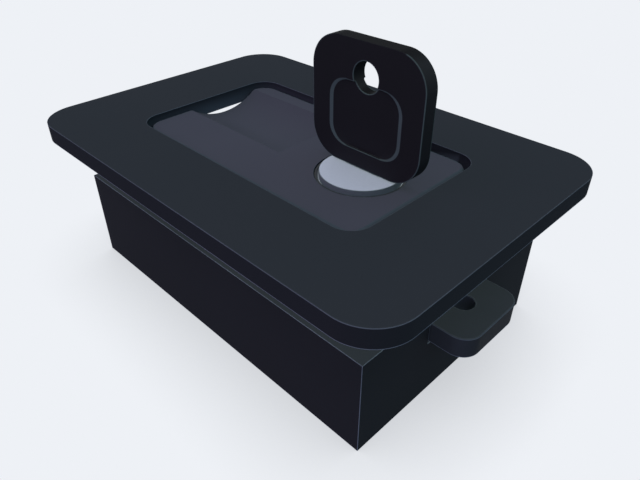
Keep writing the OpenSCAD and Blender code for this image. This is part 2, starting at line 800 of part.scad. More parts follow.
// Screw that holds the cam to the plug
module cam_screw() {
    color("silver")
    translate([lock_x, 0, cam_z - cam_head_t])
        difference() {
            screw_up(cam_screw_d, cam_screw_l, cam_head_d, cam_head_t);
            translate([0, 0, -cut]) cylinder(d = cam_screw_d, h = cam_head_t / 2 + cut, $fn = 6);
        }
}

// Flat key blade: cut edges below, a shoulder on the plug's face, a tang in the head
module key_blade() {
    color("silver")
    translate([lock_x, blade_y + blade_t / 2, 0]) rotate([90, 0, 0])
        difference() {
            linear_extrude(blade_t)
                difference() {
                    union() {
                        translate([-blade_w / 2, blade_foot + blade_point])
                            square([blade_w, head_z + blade_in - blade_foot - blade_point]);
                        polygon([[-blade_w / 2, blade_foot + blade_point], [-blade_w / 4, blade_foot],
                                 [blade_w / 4, blade_foot], [blade_w / 2, blade_foot + blade_point]]);
                        translate([-shoulder_w / 2, plug_z]) square([shoulder_w, shoulder_h]);
                    }
                    for (side = [-1, 1], i = [0 : wafer_n - 1])
                        translate([side * (blade_w / 2 + 0.45 - 0.2 * ((i * 3 + side) % 4)),
                                   wafer_z0 - i * wafer_pitch - wafer_t / 2])
                            rotate(45) square(blade_cut, center = true);
                }
            translate([-0.5, blade_foot - cut, blade_t - 0.4]) cube([1, plug_z - blade_foot + cut, cut]);
            translate([0, head_z + blade_in - tang_hole_back, -cut])
                cylinder(d = tang_hole_d, h = blade_t + 2 * cut);
        }
}

// Moulded key head: rounded square, ring hole, recess in each face
module key_head() {
    front = blade_y - head_t / 2;
    inset = head_h - ring_back;
    color("#18161b")
    translate([head_x, blade_y + head_t / 2, head_z]) rotate([90, 0, 0])
        difference() {
            translate([0, head_h / 2, 0]) linear_extrude(head_t) rounded(head_w, head_h, head_r);
            for (face = [0, 1])
                translate([0, pad_z - head_z + pad_h / 2, face * head_t])
                    mirror([0, 0, 1 - face]) recess();
            translate([0, inset, -cut]) cylinder(d = ring_d, h = head_t + 2 * cut);
            translate([lock_x - head_x - blade_w / 2 - fit, -cut, (head_t - blade_t) / 2 - fit])
                cube([blade_w + 2 * fit, blade_in + fit + cut, blade_t + 2 * fit]);
            translate([lock_x - head_x - shoulder_w / 2 - fit, -cut, (head_t - blade_t) / 2 - fit])
                cube([shoulder_w + 2 * fit, shoulder_h - head_z + plug_z + fit + cut, blade_t + 2 * fit]);
        }
}

// Space of a thumb recess under z = 0, dished from its left and right edges to the middle
module recess() {
    hull()
        for (x = [-1, 1], y = [-1, 1], step = [[0, 0], [pad_slope, pad_edge_depth], [pad_dish, pad_depth]])
            translate([x * (pad_w / 2 - pad_r - step[0]), y * (pad_h / 2 - pad_r), -step[1]])
                cylinder(r = pad_r, h = cut + step[1], $fn = 32);
}

bezel();
housing();
rear_cover();
clamp_screws();
cover_screws();
paddle_bumpers();
pivot_pins();
pin_clips();
pivot_washers();
paddle_springs();
spring_rod();
bolt_spring();
bolt();
paddle();
crank();
crank_screws();
lock_barrel();
barrel_clip();
lock_plug();
wafers();
wafer_springs();
cam();
cam_screw();
key_blade();
key_head();
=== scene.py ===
import json
import math
import bmesh
import bpy
from mathutils import Matrix, Vector


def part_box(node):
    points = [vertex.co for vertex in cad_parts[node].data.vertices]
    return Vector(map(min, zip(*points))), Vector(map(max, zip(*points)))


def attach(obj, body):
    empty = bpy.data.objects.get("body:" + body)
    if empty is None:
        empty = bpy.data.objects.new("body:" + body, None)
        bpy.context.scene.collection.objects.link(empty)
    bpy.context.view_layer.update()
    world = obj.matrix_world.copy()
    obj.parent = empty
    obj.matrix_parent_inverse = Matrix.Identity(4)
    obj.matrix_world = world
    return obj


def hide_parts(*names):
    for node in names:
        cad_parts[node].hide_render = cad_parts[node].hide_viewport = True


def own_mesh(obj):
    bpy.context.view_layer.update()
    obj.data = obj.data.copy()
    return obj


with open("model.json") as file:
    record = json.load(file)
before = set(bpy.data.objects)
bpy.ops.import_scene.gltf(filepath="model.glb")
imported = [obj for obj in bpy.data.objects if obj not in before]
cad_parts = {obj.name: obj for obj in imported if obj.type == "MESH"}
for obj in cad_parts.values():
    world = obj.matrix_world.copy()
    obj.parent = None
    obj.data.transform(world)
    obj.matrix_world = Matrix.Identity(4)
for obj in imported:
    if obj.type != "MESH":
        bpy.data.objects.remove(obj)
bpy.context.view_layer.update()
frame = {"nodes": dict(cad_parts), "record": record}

# Housing: the box behind the panel, in which the bolt slides and the paddle's crank swings.
# Injection-moulded in glass-filled nylon, in one shot with its posts, guides and rod seat.
# The tool leaves its outer edges slightly round, and a lighter tone along them is a painted highlight on
# these edges.
MM = 0.001
NYLON = "#272c31"
NYLON_LIGHT = "#2b2f35"
NYLON_EDGE = "#8395a8"
# The tone of painted shade, which darkens some faces of the plastics.
SHADE_TONE = "#0d0f12"
GRAIN_DEPTH_MM = 0.02
GRAIN_SHEEN = 0.06


def srgb(hex_value):
    """Linear colour of an sRGB hex value."""
    channels = [int(hex_value[i:i + 2], 16) / 255 for i in (1, 3, 5)]
    return [c / 12.92 if c <= 0.04045 else ((c + 0.055) / 1.055) ** 2.4 for c in channels] + [1.0]


def add(tree, kind, settings=None, values=None, links=None):
    """Adds a node to a tree: its own settings, its inputs' values, and what its inputs are linked to."""
    node = tree.nodes.new(kind)
    for name, value in (settings or {}).items():
        setattr(node, name, value)
    for key, value in (values or {}).items():
        node.inputs[key].default_value = value
    for key, source in (links or {}).items():
        tree.links.new(source, node.inputs[key])
    return node


def moulded(name, dark, light, edge, grain_mm, roughness, gloss, mottle_mm=22):
    """Moulded plastic: a spark-eroded grain, a slow drift between two tones, and a painted highlight along
    its edges.
    The attribute arris says where that painted highlight and other painted light lie, and a second
    attribute where painted shade darkens it."""
    material = bpy.data.materials.new(name)
    material.use_nodes = True
    tree = material.node_tree
    tree.nodes.clear()
    place = add(tree, "ShaderNodeTexCoord").outputs["Object"]
    drift = add(tree, "ShaderNodeTexNoise", values={"Scale": 1 / (mottle_mm * MM), "Detail": 1.5},
                links={"Vector": place})
    grain = add(tree, "ShaderNodeTexNoise", values={"Scale": 1 / (grain_mm * MM), "Detail": 2},
                links={"Vector": place})
    clean = add(tree, "ShaderNodeMix", {"data_type": "RGBA"}, {6: srgb(dark), 7: srgb(light)},
                {0: drift.outputs["Fac"]})
    # Painted shade: a darker tone where the second attribute says.
    shaded = add(tree, "ShaderNodeAttribute", {"attribute_name": "painted_shade"})
    tone = add(tree, "ShaderNodeMix", {"data_type": "RGBA"}, {7: srgb(SHADE_TONE)},
               {0: shaded.outputs["Fac"], 6: clean.outputs[2]})
    # Painted light: the edge tone, mostly a lighter highlight, where the attribute arris says, patchy with
    # the drift.
    painted_mark = add(tree, "ShaderNodeAttribute", {"attribute_name": "arris"})
    patchy = add(tree, "ShaderNodeMapRange",
                 values={"From Min": 0.3, "From Max": 0.7, "To Min": 0.75, "To Max": 1},
                 links={"Value": drift.outputs["Fac"]})
    painted_share = add(tree, "ShaderNodeMath", {"operation": "MULTIPLY"},
               links={0: painted_mark.outputs["Fac"], 1: patchy.outputs["Result"]})
    colour = add(tree, "ShaderNodeMix", {"data_type": "RGBA"}, {7: srgb(edge)},
                 {0: painted_share.outputs["Value"], 6: tone.outputs[2]})
    bump = add(tree, "ShaderNodeBump", values={"Strength": 0.5, "Distance": GRAIN_DEPTH_MM * MM},
               links={"Height": grain.outputs["Fac"]})
    shine = add(tree, "ShaderNodeMapRange",
                values={"To Min": roughness - GRAIN_SHEEN, "To Max": roughness + GRAIN_SHEEN},
                links={"Value": grain.outputs["Fac"]})
    surface = add(tree, "ShaderNodeBsdfPrincipled", values={"IOR": 1.5, "Specular IOR Level": gloss},
                  links={"Base Color": colour.outputs[2], "Roughness": shine.outputs["Result"],
                         "Normal": bump.outputs["Normal"]})
    add(tree, "ShaderNodeOutputMaterial", links={"Surface": surface.outputs["BSDF"]})
    return material


# A CAD node's mesh is loose triangles: its copy is welded, and triangles in one plane are joined.
WELD_MM = 0.001
FLAT_DEG = 0.5


def merged(node):
    """A merged copy of a CAD node's mesh, its flat faces joined up."""
    bm = bmesh.new()
    bm.from_mesh(frame["nodes"][node].data)
    bmesh.ops.remove_doubles(bm, verts=bm.verts, dist=WELD_MM * MM)
    flat = math.radians(FLAT_DEG)
    bmesh.ops.dissolve_limit(bm, angle_limit=flat, verts=bm.verts, edges=bm.edges, delimit=set())
    return bm


# Outer edges sharper than this are rounded, and the painted edge highlight fades as a rounding turns
# upwards, where the lamp lights it.
SHARP_DEG = 40
UPWARD_FADE = 3


def round_edges(bm, edge_mm, fade_mm=0, upward_share=1):
    """Rounds the sharp outer edges, and marks them in the attribute arris for a painted highlight.
    The mark fades out over a strip beside each rounding, and faces that are flagged already are marked too.
    Where a rounding faces up, into the lamp's light, it has only the given upward share of the mark."""
    painted_face = bm.faces.layers.int.get("painted_face") or bm.faces.layers.int.new("painted_face")
    mark = bm.verts.layers.float.new("arris")
    sharp = math.radians(SHARP_DEG)
    edges = [edge for edge in bm.edges if edge.is_manifold and edge.calc_face_angle_signed() > sharp]
    made = bmesh.ops.bevel(bm, geom=edges, offset=edge_mm * MM, offset_type="OFFSET", segments=3,
                           profile=0.5, affect="EDGES", clamp_overlap=True, material=-1)
    for face in made["faces"]:
        face[painted_face] = 1
    if fade_mm:
        plain = [face for face in bm.faces if not face[painted_face]]
        bmesh.ops.inset_region(bm, faces=plain, thickness=fade_mm * MM, use_even_offset=False,
                               use_boundary=True)
    bm.normal_update()
    for vert in bm.verts:
        upward = min(max(vert.normal.z, 0) * UPWARD_FADE, 1)
        share = 1 - upward * (1 - upward_share)
        vert[mark] = share if any(face[painted_face] for face in vert.link_faces) else 0


# Faces that meet at more than this angle keep a crisp edge in the shading.
CREASE_DEG = 32


def finished(name, bm, material, *nodes):
    """Makes a shown piece of a mesh that is in metres and in place.
    It stands for the CAD nodes, and rides as they do."""
    crease = math.radians(CREASE_DEG)
    for face in bm.faces:
        face.smooth = True
    for edge in bm.edges:
        edge.smooth = edge.is_manifold and edge.calc_face_angle() < crease
    mesh = bpy.data.meshes.new(name)
    bm.to_mesh(mesh)
    bm.free()
    mesh.materials.append(material)
    obj = bpy.data.objects.new(name, mesh)
    bpy.context.scene.collection.objects.link(obj)
    weighted = obj.modifiers.new("weighted_normals", "WEIGHTED_NORMAL")
    weighted.keep_sharp = True
    record = frame["record"]
    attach(obj, next(body for body, names in record["behaviour"]["bodies"].items() if nodes[0] in names))
    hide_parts(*nodes)
    return obj


def softened(node, material, edge_mm):
    """The CAD node's own form with its edges rounded and given a painted highlight, as a shown piece."""
    bm = merged(node)
    round_edges(bm, edge_mm)
    finished("dressed_" + node, bm, material, node)


# Glass fibres give the nylon a dull, slightly cloudy face.
# The real grain of about 0.1 mm is too fine to show, so this and the other plastics have it coarser.
nylon = moulded("glass_filled_nylon", NYLON, NYLON_LIGHT, NYLON_EDGE,
                grain_mm=0.3, roughness=0.6, gloss=0.006)
EDGE_MM = 0.2
HIGHLIGHT_FADE_MM = 0.14
HOUSING_UPWARD_HIGHLIGHT = 0.5
TOP_PAINTED_LIGHT = 0.07
FACING_UP = 0.9
# Its upward edges keep half the painted highlight, and its faces that look up are painted a little lighter,
# as painted light where the bezel shades them.
bm = merged("housing")
round_edges(bm, EDGE_MM, HIGHLIGHT_FADE_MM, HOUSING_UPWARD_HIGHLIGHT)
mark = bm.verts.layers.float["arris"]
for vert in bm.verts:
    if vert.normal.z > FACING_UP:
        vert[mark] = max(vert[mark], TOP_PAINTED_LIGHT)
finished("dressed_housing", bm, nylon, "housing")

# Rear cover: the plate let into the back of the housing, with the two rails under the bolt.
# Moulded in the same nylon, and held by four screws with flush heads.
softened("rear_cover", nylon, edge_mm=0.25)

# Spring rod: ground steel rod pressed into the housing's rear wall, and the bolt's tail slides on it.
# Drawn bar, cut to length and deburred, so its skin is bright with fine lines round it.
BRIGHT = "#b9bec6"
BRIGHT_DARK = "#8f959e"
MARK_DEPTH_MM = 0.004
MARK_SHEEN = 0.08


def worked_metal(name, dark, light, roughness, pitch_mm, stretch=(1, 1, 1), edge=None, metallic=1.0):
    """Worked metal: marks of a given pitch, drawn out along one axis, and edges painted a tone of their
    own, which is a painted highlight on most pieces and painted shade on the barrel's rim and the plug's
    wall.
    """
    material = bpy.data.materials.new(name)
    material.use_nodes = True
    tree = material.node_tree
    tree.nodes.clear()
    place = add(tree, "ShaderNodeTexCoord").outputs["Object"]
    drawn = add(tree, "ShaderNodeMapping", {"vector_type": "POINT"}, {"Scale": stretch}, {"Vector": place})
    marks = add(tree, "ShaderNodeTexNoise", values={"Scale": 1 / (pitch_mm * MM), "Detail": 3},
                links={"Vector": drawn.outputs["Vector"]})
    tone = add(tree, "ShaderNodeMix", {"data_type": "RGBA"}, {6: srgb(dark), 7: srgb(light)},
               {0: marks.outputs["Fac"]})
    # The edge tone goes where the attribute arris says: a painted highlight, and painted shade on the
    # barrel and plug.
    painted_mark = add(tree, "ShaderNodeAttribute", {"attribute_name": "arris"})
    colour = add(tree, "ShaderNodeMix", {"data_type": "RGBA"}, {7: srgb(edge or light)},
                 {0: painted_mark.outputs["Fac"], 6: tone.outputs[2]})
    shine = add(tree, "ShaderNodeMapRange",
                values={"To Min": roughness - MARK_SHEEN, "To Max": roughness + MARK_SHEEN},
                links={"Value": marks.outputs["Fac"]})
    bump = add(tree, "ShaderNodeBump", values={"Strength": 0.4, "Distance": MARK_DEPTH_MM * MM},
               links={"Height": marks.outputs["Fac"]})
    surface = add(tree, "ShaderNodeBsdfPrincipled", values={"Metallic": metallic},
                  links={"Base Color": colour.outputs[2], "Roughness": shine.outputs["Result"],
                         "Normal": bump.outputs["Normal"]})
    add(tree, "ShaderNodeOutputMaterial", links={"Surface": surface.outputs["BSDF"]})
    return material


# Ground steel is bright, with marks across the axis about 0.2 mm apart.
bright_steel = worked_metal("ground_steel", BRIGHT_DARK, BRIGHT, roughness=0.28, pitch_mm=0.2,
                            stretch=(1, 0.1, 0.1))
softened("spring_rod", bright_steel, edge_mm=0.3)

# Bolt spring: compression spring wound from 0.8 mm music wire round the rod.
# It pushes the bolt out, and stands between the rod's seat and the bolt's tail.
WIRE = "#aab0b8"
WIRE_DARK = "#7f858e"


def wound_wire(radius, wire, pitch, turns, steps=32, sides=12):
    """Wire wound round Z, open at both ends, in millimetres: a ring of its outline is spun and lifted."""
    bm = bmesh.new()
    ring = bmesh.ops.create_circle(bm, cap_ends=False, segments=sides, radius=wire / 2)["verts"]
    bmesh.ops.rotate(bm, cent=(0, 0, 0), matrix=Matrix.Rotation(math.pi / 2, 3, "X"), verts=ring)
    bmesh.ops.translate(bm, vec=(radius, 0, 0), verts=ring)
    count = round(steps * turns)
    bmesh.ops.spin(bm, geom=bm.edges[:], cent=(0, 0, 0), axis=(0, 0, 1), dvec=(0, 0, pitch * turns / count),
                   angle=2 * math.pi * turns, steps=count)
    return bm


def capped(bm):
    """Closes a tube's ends and turns its faces outwards."""
    bmesh.ops.holes_fill(bm, edges=bm.edges[:], sides=0)
    bmesh.ops.recalc_face_normals(bm, faces=bm.faces[:])
    return bm


def laid_along_x(bm, start):
    """Lays a coil wound round Z in millimetres along X, in metres, from its start."""
    bmesh.ops.rotate(bm, cent=(0, 0, 0), matrix=Matrix.Rotation(math.pi / 2, 3, "Y"), verts=bm.verts)
    bmesh.ops.scale(bm, vec=(MM, MM, MM), verts=bm.verts)
    bmesh.ops.translate(bm, vec=start, verts=bm.verts)


# Music wire has a satin skin with fine marks.
spring_wire = worked_metal("music_wire", WIRE_DARK, WIRE, roughness=0.35, pitch_mm=0.25)
WIRE_MM = 0.8
BOLT_SPRING_TURNS = 9
low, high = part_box("bolt_spring")
middle = (low + high) / 2
coil_radius = (high.y - low.y) / 2 / MM - WIRE_MM / 2
coil_length = (high.x - low.x) / MM - WIRE_MM
bm = capped(wound_wire(coil_radius, WIRE_MM, coil_length / BOLT_SPRING_TURNS, BOLT_SPRING_TURNS))
laid_along_x(bm, (low.x + WIRE_MM / 2 * MM, middle.y, middle.z))
coil = finished("wound_bolt_spring", bm, spring_wire, "bolt_spring")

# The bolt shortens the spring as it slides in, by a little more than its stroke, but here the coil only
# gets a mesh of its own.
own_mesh(coil)

# Bolt: one zinc die-casting, with the round-cornered nose, the shank, the crank's wings and the rod's eye.
# Blackened and oiled, so it is nearly as dark as the plastic and a little shinier.
BLACKENED = "#272c31"
BLACKENED_LIGHT = "#2b2f35"
BLACKENED_EDGE = "#7b8da0"
black_zinc = moulded("blackened_zinc", BLACKENED, BLACKENED_LIGHT, BLACKENED_EDGE,
                     grain_mm=0.45, roughness=0.5, gloss=0.01, mottle_mm=12)

# The bolt's top, its front side and the eye in its nose are painted a little lighter, as painted light
# where the bezel above and the eye's depth shade them. Its upward edges keep only a small share of the
# painted edge highlight.
UPWARD_HIGHLIGHT = 0.13
EYE_FROM_NOSE_MM = 7.3
EYE_REACH_MM = 2.3
EYE_PAINTED_LIGHT = 0.25
BOLT_TOP_PAINTED_LIGHT = 0.045
BOLT_SIDE_PAINTED_LIGHT = 0.14
SIDEWAYS = 0.5
bm = merged("bolt")
round_edges(bm, EDGE_MM, HIGHLIGHT_FADE_MM, UPWARD_HIGHLIGHT)
mark = bm.verts.layers.float["arris"]
low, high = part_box("bolt")
eye = Vector((high.x - EYE_FROM_NOSE_MM * MM, (low.y + high.y) / 2))
for vert in bm.verts:
    in_eye = (vert.co.xy - eye).length < EYE_REACH_MM * MM and abs(vert.normal.z) < SIDEWAYS
    painted_light = max(BOLT_TOP_PAINTED_LIGHT * vert.normal.z, -BOLT_SIDE_PAINTED_LIGHT * vert.normal.y, EYE_PAINTED_LIGHT * in_eye)
    vert[mark] = max(vert[mark], painted_light)
finished("dressed_bolt", bm, black_zinc, "bolt")

# Cover screws: four bright steel screws that hold the rear cover, their heads let in flush.
# Cold-headed with a hexagon socket, and driven into the housing's corner posts.
softened("cover_screws", bright_steel, edge_mm=0.15)

# Bezel: the front plate, moulded in ABS with its collar, its four screw bosses and the bumpers' ledges.
# The show face has a fine spark-eroded texture, and its edges are rounded off by the tool.
ABS = "#282e34"
ABS_LIGHT = "#2a2f35"
ABS_EDGE = "#8c9eb1"
abs_plastic = moulded("moulded_abs", ABS, ABS_LIGHT, ABS_EDGE,
                      grain_mm=0.35, roughness=0.6, gloss=0.003, mottle_mm=30)

# The opening's walls are painted lighter, most beside the key, as painted light where the paddle and the
# key shade them.
WALL_PAINTED_LIGHT = 0.34
KEY_SIDE_PAINTED_LIGHT = 0.75
OPENING_REACH_MM = 1.5
bm = merged("bezel")
round_edges(bm, EDGE_MM, HIGHLIGHT_FADE_MM, UPWARD_HIGHLIGHT)
mark = bm.verts.layers.float["arris"]
low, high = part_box("bezel")
paddle_low, paddle_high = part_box("paddle")
reach = (paddle_high.xy - paddle_low.xy) / 2 + Vector((1, 1)) * OPENING_REACH_MM * MM
for vert in bm.verts:
    inside = abs(vert.co.x) < reach.x and abs(vert.co.y) < reach.y
    if inside and vert.co.z < high.z - EDGE_MM * MM:
        beside_key = vert.co.x > 0 and vert.co.y > 0
        vert[mark] = max(vert[mark], KEY_SIDE_PAINTED_LIGHT if beside_key else WALL_PAINTED_LIGHT)
finished("dressed_bezel", bm, abs_plastic, "bezel")

# Paddle bumpers: two rubber buttons pushed into the ledges, which stop the paddle without a rattle.
# Moulded in black rubber, dull and a little dusty.
RUBBER = "#1b1b1c"
RUBBER_LIGHT = "#242425"
RUBBER_EDGE = "#3a3a3c"
rubber = moulded("moulded_rubber", RUBBER, RUBBER_LIGHT, RUBBER_EDGE,
                 grain_mm=0.4, roughness=0.8, gloss=0.3)
softened("paddle_bumpers", rubber, edge_mm=0.2)

# Paddle: the flush handle, moulded in ABS as a shell with a finger scoop and a stepped hole for the lock.
# A little lighter than the bezel, as the same plastic is with a finer texture.
PADDLE = "#3b3f4a"
PADDLE_LIGHT = "#3e424d"
PADDLE_EDGE = "#37424b"
paddle_plastic = moulded("moulded_paddle", PADDLE, PADDLE_LIGHT, PADDLE_EDGE,
                         grain_mm=0.25, roughness=0.55, gloss=0.003, mottle_mm=18)

# Its rounded rim is painted a cooler, slightly darker tone, as painted shade along its edge.
PADDLE_RIM_MM = 0.9
RIM_UPRIGHT = 0.1
RIM_LEVEL = 0.995
bm = merged("paddle")
bm.normal_update()
low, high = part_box("paddle")
painted_face = bm.faces.layers.int.new("painted_face")
for face in bm.faces:
    centre = face.calc_center_median()
    inset = min(centre.x - low.x, high.x - centre.x, centre.y - low.y, high.y - centre.y) / MM
    on_top = centre.z > high.z - PADDLE_RIM_MM * MM
    rounded = RIM_UPRIGHT < face.normal.z < RIM_LEVEL
    face[painted_face] = int(on_top and inset < PADDLE_RIM_MM and rounded)
round_edges(bm, EDGE_MM, HIGHLIGHT_FADE_MM)

# The near slope of the scoop, which lies towards -X, is painted darker the steeper it is, as painted shade
# on a slope that turns away from the light.
SCOOP_TOP_MM = 0.1
SCOOP_DEPTH_MM = 4
SCOOP_FACING = 0.7
LEAST_SLOPE = 0.12
SHADE_BY_SLOPE = 0.6
SCOOP_SHADE = 0.17
painted_shade = bm.verts.layers.float.new("painted_shade")
for vert in bm.verts:
    depth = (high.z - vert.co.z) / MM
    in_scoop = SCOOP_TOP_MM < depth < SCOOP_DEPTH_MM and vert.co.x < EDGE_MM * MM
    if in_scoop and vert.normal.z > SCOOP_FACING:
        vert[painted_shade] = min(max(vert.normal.y - LEAST_SLOPE, 0) * SHADE_BY_SLOPE, SCOOP_SHADE)
finished("dressed_paddle", bm, paddle_plastic, "paddle")

# Crank and its screws: bent steel lever screwed to the paddle's bosses, whose feet draw the bolt back.
# Stamped from 1.5 mm strip and zinc-plated, grey and half dull with rolling lines along it.
PLATED = "#9aa0a9"
PLATED_DARK = "#7d838c"
plated_steel = worked_metal("zinc_plated_steel", PLATED_DARK, PLATED, roughness=0.42, pitch_mm=0.5,
                            stretch=(1, 1, 0.25))
softened("crank", plated_steel, edge_mm=0.2)
softened("crank_screws", bright_steel, edge_mm=0.2)

# Pivot pins, clips and washers: ground pins pressed into the collar, spring clips in their grooves,
# and nylon washers that take up the paddle's end play. The nylon is white, waxy and hardly grained.
WHITE = "#d6d7d4"
WHITE_LIGHT = "#e4e5e2"
WHITE_EDGE = "#eeeeec"
white_nylon = moulded("white_nylon", WHITE, WHITE_LIGHT, WHITE_EDGE, grain_mm=0.3, roughness=0.5, gloss=0.4)
softened("pivot_pins", bright_steel, edge_mm=0.12)
softened("pin_clips", bright_steel, edge_mm=0.1)
softened("pivot_washers", white_nylon, edge_mm=0.12)

# Paddle springs: a torsion spring on each pin, wound from 0.6 mm wire, which shuts the paddle.
# The inner end lies in the pin's slot, and the long leg presses on the crank's tab.
TORSION_WIRE_MM = 0.6
TORSION_TURNS = 3.25
TORSION_GAP_MM = 0.12
TANG_REACH_MM = 0.625


def end_ring(bm, at_start):
    """The open end of a wound wire: its first or its last ring of vertices."""
    rim = {vert for edge in bm.edges if edge.is_boundary for vert in edge.verts}
    lift = sum(vert.co.z for vert in rim) / len(rim)
    return [vert for vert in rim if (vert.co.z < lift) == at_start]


def drawn_out(bm, ring, move):
    """Draws a tube's open end out by a vector, and returns its new ring."""
    edges = [edge for edge in bm.edges if edge.is_boundary and all(vert in ring for vert in edge.verts)]
    made = bmesh.ops.extrude_edge_only(bm, edges=edges)["geom"]
    new_ring = [item for item in made if isinstance(item, bmesh.types.BMVert)]
    bmesh.ops.translate(bm, vec=move, verts=new_ring)
    return new_ring


low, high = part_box("paddle_springs")
pin_low, pin_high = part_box("pivot_pins")
pin_radius = (pin_high.z - pin_low.z) / 2 / MM
pivot = (pin_low + pin_high) / 2
winding_radius = pin_radius + TORSION_WIRE_MM
winding_pitch = TORSION_WIRE_MM + TORSION_GAP_MM
leg_length = (pivot.x - low.x) / MM
bm = wound_wire(winding_radius, TORSION_WIRE_MM, winding_pitch, TORSION_TURNS)
drawn_out(bm, end_ring(bm, False), (-leg_length, 0, 0))
tang = end_ring(bm, True)
half_bend = Matrix.Rotation(math.pi / 4, 3, "Z")
bmesh.ops.rotate(bm, cent=(winding_radius, 0, 0), matrix=half_bend, verts=tang)
tang = drawn_out(bm, tang, (-winding_radius - TANG_REACH_MM, 0, 0))
bmesh.ops.rotate(bm, cent=(-TANG_REACH_MM, 0, 0), matrix=half_bend, verts=tang)
capped(bm)

# The winding stands along Z so far: it is laid along Y, its outer end towards the paddle's side.
swap_y_and_z = Matrix(((1, 0, 0), (0, 0, 1), (0, 1, 0))).to_4x4()
bmesh.ops.transform(bm, matrix=swap_y_and_z, space=Matrix(), verts=bm.verts)
bmesh.ops.scale(bm, vec=(MM, MM, MM), verts=bm.verts)
top_y = max(vert.co.y for vert in bm.verts)
bmesh.ops.translate(bm, vec=(pivot.x, high.y - top_y, pivot.z), verts=bm.verts)
bmesh.ops.mirror(bm, geom=bm.verts[:] + bm.edges[:] + bm.faces[:], matrix=Matrix(), merge_dist=-1, axis="Y")
bmesh.ops.recalc_face_normals(bm, faces=bm.faces[:])
finished("wound_paddle_springs", bm, spring_wire, "paddle_springs")

# Lock barrel and its clip: a zinc die-casting pushed into the paddle's boss, turned true at its rim,
# and held from below by a sprung horseshoe clip in its groove.
# Zinc dulls under a thin oxide skin, so it shines less than bare metal, and its rim is painted near black,
# as painted shade round the plug's mouth.
BARREL = "#a8b0bf"
BARREL_DARK = "#9aa3b2"
BARREL_RIM_SHADE = "#0e161f"
BARREL_MOUTH_MM = 0.45
BARREL_EDGE_MM = 0.06
MOUTH_REACH_MM = 0.2
LEVEL_MM = 0.01
cast_zinc = worked_metal("cast_zinc", BARREL_DARK, BARREL, roughness=0.6, pitch_mm=0.3,
                         edge=BARREL_RIM_SHADE, metallic=0.25)
bm = merged("lock_barrel")
plug_low, plug_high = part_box("lock_plug")
low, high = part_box("lock_barrel")
axis = Vector(((plug_low.x + plug_high.x) / 2, (plug_low.y + plug_high.y) / 2, 0))
mouth = (plug_high.x - plug_low.x) / 2
rim_level = high.z - LEVEL_MM * MM
painted_face = bm.faces.layers.int.new("painted_face")
for face in bm.faces:
    face[painted_face] = int(all(vert.co.z > rim_level for vert in face.verts))

# The rim's inner edge is opened out, so that the mouth is a shallow cone round the plug.
rim = [vert for vert in bm.verts if vert.co.z > rim_level]
inner = [vert for vert in rim if (vert.co.xy - axis.xy).length < mouth + MOUTH_REACH_MM * MM]
spread = 1 + BARREL_MOUTH_MM * MM / mouth
bmesh.ops.scale(bm, vec=(spread, spread, 1), space=Matrix.Translation(-axis), verts=inner)
round_edges(bm, BARREL_EDGE_MM)
finished("dressed_lock_barrel", bm, cast_zinc, "lock_barrel")
softened("barrel_clip", bright_steel, edge_mm=0.15)

# Lock plug: turned from zinc, with a faced front, the keyway, slots for the wafers and a square tail.
# Facing leaves fine marks that spread the light, so the front looks satin and even.
PLUG = "#adb8cb"
PLUG_DARK = "#a0abbf"
# Its side wall, below the face, is painted a darker tone, as painted shade in the gap round the plug.
PLUG_WALL_SHADE = "#6b7a82"
PLUG_EDGE_MM = 0.08
PLUG_FADE_MM = 0.1
PLUG_SKIN_MM = 0.3
UPRIGHT = 0.1
satin_zinc = worked_metal("faced_zinc", PLUG_DARK, PLUG, roughness=0.6, pitch_mm=0.3,
                          edge=PLUG_WALL_SHADE, metallic=0.25)
bm = merged("lock_plug")
painted_face = bm.faces.layers.int.new("painted_face")
for face in bm.faces:
    from_axis = (face.calc_center_median().xy - axis.xy).length
    face[painted_face] = int(abs(face.normal.z) < UPRIGHT and from_axis > mouth - PLUG_SKIN_MM * MM)
round_edges(bm, PLUG_EDGE_MM, PLUG_FADE_MM)
finished("dressed_lock_plug", bm, satin_zinc, "lock_plug")

# Wafers and their springs: five wafers in the plug's slots, each sprung by a tiny coil.
# Stamped from 1 mm brass sheet, yellow with fine lines from rolling, and lined up by the key's blade.
BRASS = "#c6a457"
BRASS_DARK = "#a98640"
WAFER_WIRE_MM = 0.24
WAFER_TURNS = 4
WAFER_COUNT = 5
brass = worked_metal("stamped_brass", BRASS_DARK, BRASS, roughness=0.35, pitch_mm=0.3, stretch=(0.2, 1, 1))
softened("wafers", brass, edge_mm=0.1)
low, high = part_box("wafer_springs")
coil_width = high.y - low.y
coil_radius = coil_width / 2 / MM - WAFER_WIRE_MM / 2
coil_length = (high.x - low.x) / MM - WAFER_WIRE_MM
rise = (high.z - low.z - coil_width) / (WAFER_COUNT - 1)
bm = wound_wire(coil_radius, WAFER_WIRE_MM, coil_length / WAFER_TURNS, WAFER_TURNS, steps=16, sides=8)
capped(bm)
laid_along_x(bm, (low.x + WAFER_WIRE_MM / 2 * MM, (low.y + high.y) / 2, low.z + coil_width / 2))
single = bm.verts[:] + bm.edges[:] + bm.faces[:]
for number in range(1, WAFER_COUNT):
    copy = bmesh.ops.duplicate(bm, geom=single)["geom"]
    copied = [item for item in copy if isinstance(item, bmesh.types.BMVert)]
    bmesh.ops.translate(bm, vec=(0, 0, number * rise), verts=copied)
finished("wound_wafer_springs", bm, spring_wire, "wafer_springs")

# Cam and its screw: stamped and plated steel arm on the plug's square tail, held by one screw.
# Turned with the key, it goes under the edge of the housing's window and keeps the paddle down.
softened("cam", plated_steel, edge_mm=0.05)
softened("cam_screw", bright_steel, edge_mm=0.15)

# Clamp screws: four bright steel screws inside the housing, cold-headed.
# They go up into the bezel's bosses through the panel, and draw the housing against it.
softened("clamp_screws", bright_steel, edge_mm=0.15)

